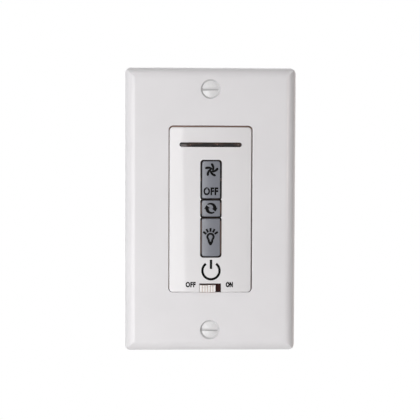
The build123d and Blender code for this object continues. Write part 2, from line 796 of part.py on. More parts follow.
save(rear_housing.part, "rear_housing")

# Clamp screws: from the back of the housing, through the strap, into the face cover
with BuildPart() as clamp_screws:
    with BuildSketch(front(-clamp_seat_depth)):
        with Locations(*clamp_places):
            Circle(clamp_screw_radius)
    extrude(amount=clamp_seat_depth + face_back_stand - 2 * clamp_pilot_margin)
    chamfer(edges().group_by(Axis.Y)[0], screw_tip_chamfer)
    with BuildSketch(front(-clamp_seat_depth)):
        with Locations(*clamp_places):
            Circle(clamp_screw_head_radius)
    extrude(amount=-clamp_screw_head_height)
    with BuildSketch(front(-clamp_seat_depth - clamp_screw_head_height)):
        with Locations(*clamp_places):
            Rectangle(cross_recess_length, cross_recess_width)
            Rectangle(cross_recess_width, cross_recess_length)
    extrude(amount=cross_recess_depth, mode=Mode.SUBTRACT)
save(clamp_screws.part, "clamp_screws")

# Capacitors
with BuildPart() as film_capacitor:
    with BuildSketch(front(power_board_stand)):
        with Locations(film_capacitor_place):
            Rectangle(film_capacitor_size[0], film_capacitor_size[1])
    extrude(amount=film_capacitor_size[2])
    chamfer(edges().group_by(Axis.Y)[0], film_capacitor_chamfer)
save(film_capacitor.part, "film_capacitor")
with BuildPart() as filter_capacitor:
    with BuildSketch(front(power_board_stand)):
        with Locations(filter_capacitor_place):
            Circle(filter_capacitor_radius)
    extrude(amount=filter_capacitor_height)
    chamfer(edges().group_by(Axis.Y)[0], filter_capacitor_chamfer)
save(filter_capacitor.part, "filter_capacitor")

# Choke: a drum core with its winding
with BuildPart() as choke_core:
    with BuildSketch(front(power_board_stand)):
        with Locations(choke_place):
            Circle(choke_radius)
    extrude(amount=choke_flange)
    with BuildSketch(front(power_board_stand)):
        with Locations(choke_place):
            Circle(choke_core_radius)
    extrude(amount=choke_height)
    with BuildSketch(front(power_board_stand + choke_height - choke_flange)):
        with Locations(choke_place):
            Circle(choke_radius)
    extrude(amount=choke_flange)
save(choke_core.part, "choke_core")
with BuildPart() as choke_winding:
    with BuildSketch(front(power_board_stand + choke_flange)):
        with Locations(choke_place):
            Circle(choke_radius - choke_winding_inset)
            Circle(choke_core_radius, mode=Mode.SUBTRACT)
    extrude(amount=choke_height - 2 * choke_flange)
save(choke_winding.part, "choke_winding")

# Triac: a moulded body on its drilled metal tab
with BuildPart() as triac:
    with BuildSketch(front(power_board_stand)):
        with Locations(triac_place):
            Rectangle(triac_size[0], triac_size[1])
    extrude(amount=triac_size[2])
    with BuildSketch(front(power_board_stand)):
        with Locations((triac_place[0], triac_place[1] + (triac_size[1] + triac_tab_length) / 2)):
            Rectangle(triac_size[0], triac_tab_length)
            Circle(triac_hole_radius, mode=Mode.SUBTRACT)
    extrude(amount=triac_tab_thickness)
save(triac.part, "triac")

# Fuse: a tube between two end caps, resting on the board
fuse_axis_stand = power_board_stand + fuse_cap_radius
with BuildPart() as fuse_tube:
    with BuildSketch(Plane.YZ.offset(fuse_place[0])):
        with Locations((-fuse_axis_stand, fuse_place[1])):
            Circle(fuse_radius)
    extrude(amount=fuse_length / 2 - fuse_cap_wall, both=True)
save(fuse_tube.part, "fuse_tube")
with BuildPart() as fuse_caps:
    for side in (-1, 1):
        with BuildSketch(Plane.YZ.offset(fuse_place[0] + side * fuse_length / 2)):
            with Locations((-fuse_axis_stand, fuse_place[1])):
                Circle(fuse_cap_radius)
        extrude(amount=-side * fuse_cap_length)
        with BuildSketch(Plane.YZ.offset(fuse_place[0] + side * (fuse_length / 2 - fuse_cap_wall))):
            with Locations((-fuse_axis_stand, fuse_place[1])):
                Circle(fuse_radius)
        extrude(amount=-side * fuse_cap_length, mode=Mode.SUBTRACT)
save(fuse_caps.part, "fuse_caps")

# Controller chip on the back of the control board
with BuildPart() as controller_chip:
    with BuildSketch(front(board_back_stand)):
        with Locations(chip_place):
            Rectangle(chip_size[0], chip_size[1])
    extrude(amount=-chip_size[2])
    chamfer(edges().group_by(Axis.Y)[-1], chip_chamfer)
save(controller_chip.part, "controller_chip")
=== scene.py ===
import math

import bmesh
import bpy
from mathutils import Matrix, Vector


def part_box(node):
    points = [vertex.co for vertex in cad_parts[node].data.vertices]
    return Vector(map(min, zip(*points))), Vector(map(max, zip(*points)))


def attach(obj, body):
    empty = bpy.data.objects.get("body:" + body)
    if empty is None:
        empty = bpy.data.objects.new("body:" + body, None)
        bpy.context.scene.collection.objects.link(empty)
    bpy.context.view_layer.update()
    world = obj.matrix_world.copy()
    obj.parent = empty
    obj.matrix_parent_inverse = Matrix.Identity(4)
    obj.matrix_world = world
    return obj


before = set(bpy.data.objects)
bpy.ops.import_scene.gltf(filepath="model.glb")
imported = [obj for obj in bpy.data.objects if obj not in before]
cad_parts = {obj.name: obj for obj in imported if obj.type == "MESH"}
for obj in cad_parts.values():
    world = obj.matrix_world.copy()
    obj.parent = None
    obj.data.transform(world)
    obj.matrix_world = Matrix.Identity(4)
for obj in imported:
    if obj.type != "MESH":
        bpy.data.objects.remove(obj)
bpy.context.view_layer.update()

# Metres in one millimetre. Drawings on the front are in millimetres, x to the right and y up.
MM = 0.001

# Camera: where the photograph was taken from, its tilt, and the width of wall that fills the picture
CAMERA_DISTANCE = 0.530
CAMERA_AZIMUTH = math.radians(-2.6)
CAMERA_ELEVATION = math.radians(2.8)
CAMERA_ROLL = math.radians(0.22)
CAMERA_SENSOR_MM = 36.0
PICTURE_WIDTH = 0.1706
AIM_RIGHT_OF_CENTRE = 0.14 * MM
AIM_BELOW_CENTRE = 0.33 * MM

# Softboxes: angle to the right of the front, height angle, distance, width, height, radiance and tint
WHITE_LIGHT = (1.0, 1.0, 1.0)
WARM_LIGHT = (1.0, 0.82, 0.72)
SOFTBOXES = {
    "left_softbox": (math.radians(-26.8), math.radians(-13.7), 0.52, 0.355, 0.46, 3.20, WHITE_LIGHT),
    "far_left_card": (math.radians(-66.2), math.radians(-14), 0.52, 0.38, 0.46, 0.25, WHITE_LIGHT),
    "top_softbox": (math.radians(-35), math.radians(50), 1.0, 0.70, 0.50, 2.1, WHITE_LIGHT),
    "right_strip": (math.radians(35), math.radians(0.5), 3.0, 0.25, 0.39, 14.0, WARM_LIGHT),
    "right_card": (math.radians(122), 0.0, 0.80, 0.50, 0.60, 0.55, WARM_LIGHT),
    "back_glow": (math.radians(180), 0.0, 0.50, 2.0, 2.0, 0.25, WHITE_LIGHT),
    "back_key": (math.radians(-155), math.radians(10), 1.2, 1.0, 1.0, 1.1, WHITE_LIGHT),
    "back_fill": (math.radians(160), math.radians(35), 1.0, 0.90, 0.70, 0.5, WHITE_LIGHT),
}
ROOM_LIGHT = 0.17
ROOM_TINT = (1.0, 0.97, 0.95, 1)

# Floor: a pale disc well below the control that fades out towards its rim
FLOOR_DROP = 0.45
FLOOR_RADIUS = 0.80
FLOOR_FADE_FROM = 0.35
FLOOR_FADE_TO = 0.76
FLOOR_SIDES = 64
FLOOR_COLOUR = (0.90, 0.90, 0.90, 1)

# Colours of the front, linear
PLATE_WHITE = (0.858, 0.848, 0.868)
FACE_WHITE = (0.850, 0.839, 0.854)
SCREW_WHITE = (0.84, 0.84, 0.85)
# painted shade on the floor of the screws' slots
SCREW_SLOT_PAINTED_SHADE = (0.66, 0.66, 0.67)
# painted shadow along the lower edge of the screws' slots
SCREW_SLOT_PAINTED_SHADOW = (0.49, 0.49, 0.50)
KEY_GREY = (0.181, 0.190, 0.222)
KEY_CARRIER = (0.22, 0.125, 0.092)
# the knob's white is lighter than the face's white, a painted highlight for the sheen of its ribs
KNOB_WHITE_AND_PAINTED_SHEEN = (0.950, 0.935, 0.925)
# painted shade in the knob's grooves
KNOB_GROOVE_PAINTED_SHADE = (0.70, 0.57, 0.51)
CARRIAGE_BLACK = (0.034, 0.010, 0.008)
LENS_DARK = (0.003, 0.002, 0.002)
LENS_BROWN = (0.060, 0.032, 0.024)
INK_BLACK = (0.004, 0.004, 0.004)

# Colours of what lies behind the plate and the face, linear
ZINC = (0.52, 0.53, 0.54)
# painted shade on the strap's front, under the plate
STRAP_FRONT_PAINTED_SHADE = (0.29, 0.19, 0.155)
GROUND_GREEN = (0.030, 0.22, 0.070)
HOUSING_CHARCOAL = (0.030, 0.030, 0.034)
BOARD_BROWN = (0.10, 0.050, 0.028)
LAMP_MILK = (0.80, 0.82, 0.78)
SWITCH_DARK = (0.035, 0.024, 0.020)
STEM_NATURAL = (0.70, 0.69, 0.64)
HEADER_BLACK = (0.02, 0.02, 0.02)
EPOXY_BLACK = (0.022, 0.022, 0.024)
CAPACITOR_YELLOW = (0.62, 0.40, 0.04)
CAN_ALUMINIUM = (0.75, 0.76, 0.78)
FERRITE_GREY = (0.06, 0.06, 0.065)
COPPER = (0.72, 0.33, 0.14)
FUSE_GLASS = (0.86, 0.90, 0.88)
NICKEL = (0.75, 0.73, 0.68)

# Where the two ends of a wandering tone lie on the noise. All noise is in cycles per metre.
TONE_STOPS = (0.35, 0.65)

# Moulded plastic: a slow wander of tone, patches of gloss and the skin of the mould
MOULD_TONE_CYCLES = 60.0
MOULD_TONE_SPREAD = 0.012
MOULD_GLOSS_CYCLES = 240.0
MOULD_GLOSS_RANGE = (0.8, 1.2)
MOULD_SKIN_CYCLES = 1400.0
MOULD_SKIN_DEPTH = 0.004 * MM
FACE_SKIN_DEPTH = 0.0004 * MM
HOUSING_SKIN_CYCLES = 1800.0
HOUSING_SKIN_DEPTH = 0.02 * MM

# Paint over steel: its tone and its orange peel
PAINT_TONE_CYCLES = 500.0
PAINT_TONE_SPREAD = 0.02
PAINT_PEEL_CYCLES = 1800.0
PAINT_PEEL_DEPTH = 0.01 * MM

# Plated metal: rolling marks and an uneven sheen
STREAK_CYCLES = 900.0
STREAK_TONE_SPREAD = 0.08
STREAK_DEPTH = 0.006 * MM
STREAK_STRENGTH = 0.4
SHEEN_CYCLES = 180.0
SHEEN_RANGE = (0.75, 1.35)

# Finishes whose front gives way below to a second colour on the keys and to painted shade on the knob
# and the screws: tone and skin of the front, and the share of its depth over which it changes
TWO_TONE_ROUGHNESS = 0.30
TWO_TONE_CYCLES = 1500.0
TWO_TONE_SPREAD = 0.03
TWO_TONE_SKIN_CYCLES = 2600.0
TWO_TONE_SKIN_DEPTH = 0.006 * MM
TWO_TONE_CHANGE = 0.4

# How deep the front's colour reaches on the keys, on the knob and on the screws. Below it the keys take
# their carrier's colour, and the knob's grooves and the screws' slots are darkened with painted shade.
KEY_TOP_DEPTH = 0.50 * MM
KNOB_TOP_DEPTH = 0.25 * MM
SCREW_TOP_DEPTH = 0.80 * MM

# Painted shadow on the floor of the screws' slots, between two heights below the screw's axis
SLOT_SHADOW_FROM = 0.65 * MM
SLOT_SHADOW_TO = 0.12 * MM

# Countersinks round the plate screws, darkened with painted shade
COUNTERSINK_MARGIN = 0.68 * MM
COUNTERSINK_PAINTED_SHADE = 0.75

# Strap: how deep the painted shade on its front reaches
STRAP_SHADE_DEPTH = 0.2 * MM

# Share of a round spot's radius at which its tone starts to fade out
SPOT_FADE = 0.98

# Indicator lens: its gloss, and how steeply its front falls off at its long sides and over its two ends
LENS_ROUGHNESS = 0.12
LENS_GLOSS = 0.36
LENS_LENGTH = 25.0 * MM
LENS_HEIGHT = 1.85 * MM
LENS_END = 3.6 * MM
LENS_END_SLOPE = 0.45
LENS_SIDE_SLOPE = 0.30

# Indicator lens: brown patches, more of them along the top, and the spots where the lamps show through
LENS_PATCH_CYCLES = 330.0
LENS_PATCH_STRETCH = (0.6, 1, 1.5)
LENS_PATCH_STOPS = (0.45, 0.70)
LENS_PATCH_LIFT = 0.24
LAMP_SPOT = 0.25 * MM
LAMP_SHARE = 3.5

# Circuit boards: copper runs under the solder mask
RUN_CYCLES = 260.0
RUN_STOPS = (0.45, 0.50)
RUN_SHADE = 0.6

# Clear resin and glass
RESIN_TONE_CYCLES = 400.0
RESIN_TONE_SPREAD = 0.02
RESIN_CLEARNESS = 0.7

# Ink: how far it stands proud of the key or the face, its whole thickness and its tone
INK_PROUD = 0.02 * MM
INK_THICKNESS = 0.05 * MM
INK_TONE_CYCLES = 3000.0
INK_TONE_SPREAD = 0.2

# How far in front of the wall the search for the surface under the ink starts
PROBE_START = 0.1

# Strokes: strips across each, steps along a straight one and a tapered one, and the width of a sharp end
STROKE_STRIPS = 4
STRAIGHT_STEPS = 3
TAPER_STEPS = 8
POINT_WIDTH = 0.15

# Fan symbol on the upper end of the fan key: bowed blades with rounded tips, round a small open hub
FAN_PLACE = (0.16, 3.82)
FAN_BLADES = 5
BLADE_ROOT = Vector((0.40, -0.16))
BLADE_BOW = Vector((1.20, 1.04))
BLADE_TIP = Vector((-0.10, 2.72))
BLADE_ROOT_WIDTH = 0.64
BLADE_TIP_WIDTH = 1.06
BLADE_TIP_START = 0.82
BLADE_TIP_ROUNDING = 0.9
BLADE_STEPS = 20

# Words: place on the piece, width, height and added weight of the strokes
KEY_OFF_WORD = {"text": "OFF", "place": (-0.10, -4.60), "size": (5.93, 3.17), "weight": 0.047}
FACE_OFF_WORD = {"text": "OFF", "place": (-7.86, -30.02), "size": (4.0, 2.2), "weight": 0.055}
FACE_ON_WORD = {"text": "ON", "place": (7.72, -30.02), "size": (2.89, 2.2), "weight": 0.085}
LETTER_SPACE = 1.10
LETTER_CURVE_STEPS = 6
LETTER_MERGE = 1e-5

# Reverse symbol: two tapered arcs that chase each other, each with a broad arrow head
REVERSE_PLACE = (-0.05, 0.08)
REVERSE_TAIL_RADIUS = 2.00
REVERSE_NECK_RADIUS = 1.52
REVERSE_TAIL = math.radians(134)
REVERSE_NECK = math.radians(2)
REVERSE_TAIL_WIDTH = 0.46
REVERSE_NECK_WIDTH = 1.48
REVERSE_HEAD_BASE = (1.54, 0.12)
REVERSE_HEAD_TIP = (1.76, -1.28)
REVERSE_HEAD_WIDTH = 2.40
REVERSE_STEPS = 24

# Light symbol: an outlined bulb on its cap, with rays
LIGHT_PLACE = (-0.18, 0.30)
BULB_RADIUS = 1.24
BULB_STROKE = 0.84
BULB_NECK_ANGLE = math.radians(38)
BULB_NECK = (0.62, -1.86)
BULB_CAP_END = (0.0, -3.40)
BULB_CAP_WIDTHS = (2.3, 0.7)
BULB_STEPS = 32
RAY_ANGLES = [math.radians(a) for a in (34, 62, 90, 118, 146)]
RAY_INNER = 2.00
RAY_OUTER = 3.55
RAY_STROKE = 0.82

# Power symbol on the face, above the slide
POWER_PLACE = (0.3, -24.4)
POWER_RADIUS = 3.45
POWER_STROKE = 0.95
POWER_GAP = math.radians(36)
POWER_BAR = (0.7, 4.4)
POWER_STEPS = 56

# Thread on the plate screws behind the strap. Its foot and its crest's place are shares of the pitch.
THREAD_PITCH = 0.79 * MM
THREAD_RADIUS = 1.60 * MM
THREAD_CREST = 0.20 * MM
THREAD_FOOT = 0.8
THREAD_CREST_PLACE = 0.4
THREAD_CLEAR = 0.4 * MM
THREAD_STEPS = 20


def middle_of(node_name):
    """The middle of a solid's box."""
    return sum(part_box(node_name), Vector()) / 2


def front_of(node_name):
    """The Y of a solid's foremost point."""
    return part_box(node_name)[0].y


def screw_axes():
    """The radius of the plate screws' heads and a point on the axis of each."""
    low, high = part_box("plate_screws")
    radius = (high.x - low.x) / 2
    return radius, [Vector(((low.x + high.x) / 2, 0, z)) for z in (low.z + radius, high.z - radius)]


def new_finish(name, roughness, metallic=0.0, specular=0.5):
    """A material with an even gloss."""
    material = bpy.data.materials.new(name)
    material.use_nodes = True
    shader = shader_of(material)
    shader.inputs["Roughness"].default_value = roughness
    shader.inputs["Metallic"].default_value = metallic
    shader.inputs["Specular IOR Level"].default_value = specular
    return material


def shader_of(material):
    """The main shader of a finish."""
    return material.node_tree.nodes["Principled BSDF"]


def add_node(material, kind, **sockets):
    """A shader node with the given values on its sockets, named with underscores for spaces."""
    node = material.node_tree.nodes.new(kind)
    for socket, value in sockets.items():
        node.inputs[socket.replace("_", " ")].default_value = value
    return node


def link(material, source, target):
    """Joins the output of one node to the input of another."""
    material.node_tree.links.new(source, target)


def coordinates(material):
    """The X, Y and Z of a point of the surface."""
    place = add_node(material, "ShaderNodeTexCoord")
    axes = add_node(material, "ShaderNodeSeparateXYZ")
    link(material, place.outputs["Object"], axes.inputs["Vector"])
    return axes.outputs


def reckon(material, operation, *terms):
    """One arithmetic step on numbers and on values that vary over the surface."""
    node = add_node(material, "ShaderNodeMath")
    node.operation = operation
    for socket, term in zip(node.inputs, terms):
        if isinstance(term, float):
            socket.default_value = term
        else:
            link(material, term, socket)
    return node.outputs["Value"]


def noise(material, cycles, detail=3.0, stretch=(1, 1, 1)):
    """Noise fixed to the object, in cycles per metre, stretched along the axes."""
    place = add_node(material, "ShaderNodeTexCoord")
    mapping = add_node(material, "ShaderNodeMapping", Scale=stretch)
    texture = add_node(material, "ShaderNodeTexNoise", Scale=cycles, Detail=detail)
    link(material, place.outputs["Object"], mapping.inputs["Vector"])
    link(material, mapping.outputs["Vector"], texture.inputs["Vector"])
    return texture.outputs["Fac"]


def colour_between(material, value, stops, colours):
    """Makes the base colour go from one colour to another between two stops of a value."""
    ramp = add_node(material, "ShaderNodeValToRGB")
    for element, stop, colour in zip(ramp.color_ramp.elements, stops, colours):
        element.position = stop
        element.color = (*colour, 1)
    link(material, value, ramp.inputs["Fac"])
    link(material, ramp.outputs["Color"], shader_of(material).inputs["Base Color"])


def mottle(material, colour, spread, texture):
    """Base colour that wanders a little round one colour."""
    ends = [[min(1.0, share * c) for c in colour] for share in (1 - spread, 1 + spread)]
    colour_between(material, texture, TONE_STOPS, ends)


def blend_to(material, colour, share):
    """Turns the base colour into another one where the share is 1."""
    mix = add_node(material, "ShaderNodeMix")
    mix.data_type = "RGBA"
    first, second = [s for s in mix.inputs if s.type == "RGBA"]
    result = next(s for s in mix.outputs if s.type == "RGBA")
    second.default_value = (*colour, 1)
    base = shader_of(material).inputs["Base Color"]
    link(material, share, mix.inputs["Factor"])
    link(material, base.links[0].from_socket, first)
    link(material, result, base)


def tone_round_spots(material, centres, radius, share):
    """Scales the base colour by a share inside round spots that run from front to back."""
    base = shader_of(material).inputs["Base Color"]
    place = add_node(material, "ShaderNodeTexCoord")
    flat = add_node(material, "ShaderNodeMapping", Scale=(1, 0, 1))
    link(material, place.outputs["Object"], flat.inputs["Vector"])
    for centre in centres:
        reach = add_node(material, "ShaderNodeVectorMath")
        reach.operation = "DISTANCE"
        reach.inputs[1].default_value = (centre.x, 0, centre.z)
        fade = add_node(
            material,
            "ShaderNodeMapRange",
            From_Min=SPOT_FADE * radius,
            From_Max=radius,
            To_Min=share,
            To_Max=1.0,
        )
        tone = add_node(material, "ShaderNodeVectorMath")
        tone.operation = "SCALE"
        link(material, flat.outputs["Vector"], reach.inputs[0])
        link(material, reach.outputs["Value"], fade.inputs["Value"])
        link(material, fade.outputs["Result"], tone.inputs["Scale"])
        link(material, base.links[0].from_socket, tone.inputs[0])
        link(material, tone.outputs["Vector"], base)


def relief(material, texture, depth, strength=0.5):
    """Fine bumps of a real depth."""
    bump = add_node(material, "ShaderNodeBump", Strength=strength, Distance=depth)
    link(material, texture, bump.inputs["Height"])
    link(material, bump.outputs["Normal"], shader_of(material).inputs["Normal"])


def vary_roughness(material, texture, roughness, shares):
    """Roughness that strays between two shares of its own value."""
    low, high = (share * roughness for share in shares)
    spread = add_node(material, "ShaderNodeMapRange", To_Min=low, To_Max=high)
    link(material, texture, spread.inputs["Value"])
    link(material, spread.outputs["Result"], shader_of(material).inputs["Roughness"])


def moulded_plastic(
    name, colour, roughness, specular=0.5, skin_cycles=MOULD_SKIN_CYCLES, skin_depth=MOULD_SKIN_DEPTH
):
    """Moulded plastic: a faint wander of tone, an uneven gloss and the fine skin of the mould."""
    material = new_finish(name, roughness, specular=specular)
    mottle(material, colour, MOULD_TONE_SPREAD, noise(material, MOULD_TONE_CYCLES))
    vary_roughness(material, noise(material, MOULD_GLOSS_CYCLES), roughness, MOULD_GLOSS_RANGE)
    relief(material, noise(material, skin_cycles), skin_depth)
    return material


def painted_steel(name, colour, roughness):
    """Paint over steel, with a slight orange peel."""
    material = new_finish(name, roughness)
    mottle(material, colour, PAINT_TONE_SPREAD, noise(material, PAINT_TONE_CYCLES))
    relief(material, noise(material, PAINT_PEEL_CYCLES, detail=1.0), PAINT_PEEL_DEPTH)
    return material


def plated_metal(name, colour, roughness, stretch):
    """Plated metal, with rolling marks along one direction and an uneven sheen."""
    material = new_finish(name, roughness, metallic=1.0)
    streaks = noise(material, STREAK_CYCLES, detail=4.0, stretch=stretch)
    mottle(material, colour, STREAK_TONE_SPREAD, streaks)
    vary_roughness(material, noise(material, SHEEN_CYCLES), roughness, SHEEN_RANGE)
    relief(material, streaks, STREAK_DEPTH, STREAK_STRENGTH)
    return material


def two_tone_and_shade_finish(name, top, under, front_y, top_depth, specular=0.5):
    """A fine-grained finish whose colour gives way to another one a little below the front."""
    material = new_finish(name, TWO_TONE_ROUGHNESS, specular=specular)
    mottle(material, top, TWO_TONE_SPREAD, noise(material, TWO_TONE_CYCLES, detail=5.0))
    top_end = front_y + top_depth
    depth = add_node(
        material, "ShaderNodeMapRange", From_Min=top_end, From_Max=top_end + TWO_TONE_CHANGE * top_depth
    )
    link(material, coordinates(material)["Y"], depth.inputs["Value"])
    blend_to(material, under, depth.outputs["Result"])
    relief(material, noise(material, TWO_TONE_SKIN_CYCLES, detail=2.0), TWO_TONE_SKIN_DEPTH)
    return material


def board_laminate(name, colour, roughness):
    """Solder mask over copper runs."""
    material = new_finish(name, roughness)
    place = add_node(material, "ShaderNodeTexCoord")
    runs = add_node(material, "ShaderNodeTexVoronoi", Scale=RUN_CYCLES)
    runs.distance = "MANHATTAN"
    link(material, place.outputs["Object"], runs.inputs["Vector"])
    shaded = [RUN_SHADE * c for c in colour]
    colour_between(material, runs.outputs["Distance"], RUN_STOPS, (colour, shaded))
    return material


def clear_resin(name, colour, roughness):
    """Milky clear resin or glass."""
    material = new_finish(name, roughness)
    mottle(material, colour, RESIN_TONE_SPREAD, noise(material, RESIN_TONE_CYCLES))
    shader_of(material).inputs["Transmission Weight"].default_value = RESIN_CLEARNESS
    return material


def plate_finish():
    """Glossy white plastic, darkened with painted shade in the countersinks."""
    plate = moulded_plastic("glossy_white_plate", PLATE_WHITE, roughness=0.17, specular=0.42)
    head_radius, centres = screw_axes()
    # painted shade: the plate's colour is scaled down inside each countersink
    tone_round_spots(plate, centres, head_radius + COUNTERSINK_MARGIN, COUNTERSINK_PAINTED_SHADE)
    return plate


def screw_finish():
    """White paint, darkened with painted shade in the slots, and a painted shadow along the lower edge
    of each.
    """
    front_y = front_of("plate_screws")
    # painted shade: the slots turn grey below the heads' tops
    screws = two_tone_and_shade_finish(
        "white_screw_paint", SCREW_WHITE, SCREW_SLOT_PAINTED_SHADE, front_y, SCREW_TOP_DEPTH
    )
    axes = coordinates(screws)
    sunk = reckon(screws, "GREATER_THAN", axes["Y"], front_y + SCREW_TOP_DEPTH)
    # painted shadow: a darker band along the lower edge of each slot
    for centre in screw_axes()[1]:
        above = reckon(screws, "GREATER_THAN", axes["Z"], centre.z - SLOT_SHADOW_FROM)
        below = reckon(screws, "LESS_THAN", axes["Z"], centre.z - SLOT_SHADOW_TO)
        slot_shadow = reckon(screws, "MULTIPLY", sunk, reckon(screws, "MULTIPLY", above, below))
        blend_to(screws, SCREW_SLOT_PAINTED_SHADOW, slot_shadow)
    return screws


def strap_finish():
    """Zinc plating, darkened and browned on the front, which the plate covers, as painted shade."""
    strap = plated_metal("zinc_plated_strap", ZINC, roughness=0.34, stretch=(1, 1, 0.06))
    shade_end = front_of("mounting_strap") + STRAP_SHADE_DEPTH
    # painted shade: the strap's front turns dark brown
    blend_to(strap, STRAP_FRONT_PAINTED_SHADE, reckon(strap, "LESS_THAN", coordinates(strap)["Y"], shade_end))
    return strap


def lens_finish():
    """Smoked plastic with a crowned front, brown in patches, and the lamps faint behind it."""
    lens = new_finish("smoked_lens", LENS_ROUGHNESS, specular=LENS_GLOSS)
    middle = middle_of("indicator_lens")
    axes = coordinates(lens)
    height = reckon(lens, "SUBTRACT", axes["Z"], middle.z)
    crown_lens(lens, reckon(lens, "SUBTRACT", axes["X"], middle.x), height)
    patches = noise(lens, LENS_PATCH_CYCLES, detail=4.0, stretch=LENS_PATCH_STRETCH)
    lift = reckon(lens, "MULTIPLY", height, LENS_PATCH_LIFT / LENS_HEIGHT)
    colour_between(lens, reckon(lens, "ADD", patches, lift), LENS_PATCH_STOPS, (LENS_DARK, LENS_BROWN))
    lamps = [middle_of(n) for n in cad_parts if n.startswith("indicator_lamp")]
    tone_round_spots(lens, lamps, LAMP_SPOT, LAMP_SHARE)
    return lens


def crown_lens(lens, across, height):
    """Lets the lens's front fall off, by bump, towards its long sides and over its two ends."""
    end_start = LENS_LENGTH / 2 - LENS_END
    past_end = reckon(lens, "SUBTRACT", reckon(lens, "ABSOLUTE", across), end_start)
    past_end = reckon(lens, "MAXIMUM", past_end, 0.0)
    end_fall = reckon(lens, "MULTIPLY", past_end, past_end)
    end_fall = reckon(lens, "MULTIPLY", end_fall, LENS_END_SLOPE / (2 * LENS_END))
    side_fall = reckon(lens, "MULTIPLY", height, height)
    side_fall = reckon(lens, "MULTIPLY", side_fall, LENS_SIDE_SLOPE / LENS_HEIGHT)
    crown = add_node(lens, "ShaderNodeBump", Strength=1.0, Distance=1.0)
    crown.invert = True
    link(lens, reckon(lens, "ADD", end_fall, side_fall), crown.inputs["Height"])
    link(lens, crown.outputs["Normal"], shader_of(lens).inputs["Normal"])


def front_finishes():
    """The finish of each solid that shows from the front."""
    key_names = ("fan_key", "reverse_key", "light_key")
    key_front = min(front_of(n) for n in key_names)
    keys = two_tone_and_shade_finish(
        "grey_key_tops", KEY_GREY, KEY_CARRIER, key_front, KEY_TOP_DEPTH, specular=0.7
    )
    finishes = {n: keys for n in key_names}
    finishes["wall_plate"] = plate_finish()
    finishes["plate_screws"] = screw_finish()
    finishes["face_cover"] = moulded_plastic(
        "polished_white_face", FACE_WHITE, roughness=0.06, specular=0.42, skin_depth=FACE_SKIN_DEPTH
    )
    finishes["indicator_lens"] = lens_finish()
    # painted shade: the knob's grooves take a darker colour below the ribs' tops
    finishes["slide_knob"] = two_tone_and_shade_finish(
        "white_slide_knob", KNOB_WHITE_AND_PAINTED_SHEEN, KNOB_GROOVE_PAINTED_SHADE, front_of("slide_knob"), KNOB_TOP_DEPTH
    )
    finishes["slide_carriage"] = moulded_plastic(
        "dark_carriage", CARRIAGE_BLACK, roughness=0.55, specular=0.1
    )
    return finishes


def inner_finishes():
    """The finish of each solid behind the plate and the face."""
    finishes = {
        "mounting_strap": strap_finish(),
        "clamp_screws": plated_metal("zinc_plated_screw", ZINC, roughness=0.30, stretch=(1, 0.3, 1)),
        "ground_screw": painted_steel("green_ground_paint", GROUND_GREEN, roughness=0.32),
        "rear_housing": moulded_plastic(
            "charcoal_housing",
            HOUSING_CHARCOAL,
            roughness=0.48,
            skin_cycles=HOUSING_SKIN_CYCLES,
            skin_depth=HOUSING_SKIN_DEPTH,
        ),
        "slide_lever": moulded_plastic("dark_lever", CARRIAGE_BLACK, roughness=0.50),
        "board_header": moulded_plastic("black_header", HEADER_BLACK, roughness=0.45),
        "controller_chip": moulded_plastic("black_epoxy", EPOXY_BLACK, roughness=0.50),
        "triac": moulded_plastic("black_epoxy_triac", EPOXY_BLACK, roughness=0.45),
        "film_capacitor": moulded_plastic("yellow_capacitor_box", CAPACITOR_YELLOW, roughness=0.30),
        "filter_capacitor": plated_metal(
            "aluminium_can", CAN_ALUMINIUM, roughness=0.25, stretch=(1, 0.1, 1)
        ),
        "choke_core": moulded_plastic("grey_ferrite", FERRITE_GREY, roughness=0.60),
        "choke_winding": plated_metal(
            "enamelled_copper", COPPER, roughness=0.25, stretch=(0.1, 3, 0.1)
        ),
        "fuse_tube": clear_resin("fuse_glass", FUSE_GLASS, roughness=0.03),
        "fuse_caps": plated_metal("nickel_caps", NICKEL, roughness=0.22, stretch=(1, 1, 1)),
    }
    boards = board_laminate("brown_board", BOARD_BROWN, roughness=0.35)
    lamps = clear_resin("milky_lamp_resin", LAMP_MILK, roughness=0.15)
    switches = moulded_plastic("dark_switch_body", SWITCH_DARK, roughness=0.45)
    stems = moulded_plastic("natural_switch_stem", STEM_NATURAL, roughness=0.40)
    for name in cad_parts:
        if name.startswith("indicator_lamp"):
            finishes[name] = lamps
        elif name.endswith("_board"):
            finishes[name] = boards
        elif name.endswith("_switch"):
            finishes[name] = switches
        elif name.endswith("_stem"):
            finishes[name] = stems
    return finishes


def dress_nodes():
    """Gives every solid of the control its finish."""
    finishes = front_finishes() | inner_finishes()
    for name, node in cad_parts.items():
        node.data.materials.clear()
        node.data.materials.append(finishes[name])


def ribbon(drawing, path, width, steps):
    """Adds a flat stroke that follows path(t) at width(t), for t from 0 to 1."""
    strip = bmesh.ops.create_grid(drawing, x_segments=steps, y_segments=STROKE_STRIPS, size=1)
    half_step = 0.5 / steps
    for vert in strip["verts"]:
        t = (vert.co.x + 1) / 2
        along = path(min(1, t + half_step)) - path(max(0, t - half_step))
        across = Vector((-along.y, along.x)).normalized()
        spot = path(t) + across * (vert.co.y * width(t) / 2)
        vert.co = (spot.x, spot.y, 0)


def even(width):
    """A stroke of one width."""
    return lambda t: width


def tapered(start, end):
    """A stroke that widens or narrows steadily."""
    return lambda t: start + t * (end - start)


def round_tip(width, start, rounding):
    """A stroke whose last stretch is rounded off."""
    return lambda t: width(t) * math.sqrt(1 - rounding * max(0, (t - start) / (1 - start)) ** 2)


def straight(start, end):
    """A path along a straight line."""
    return lambda t: Vector(start).lerp(Vector(end), t)


def bowed(start, bow, end):
    """A path that leaves its start towards a point and comes into its end from there."""
    return lambda t: (1 - t) ** 2 * start + 2 * t * (1 - t) * bow + t**2 * end


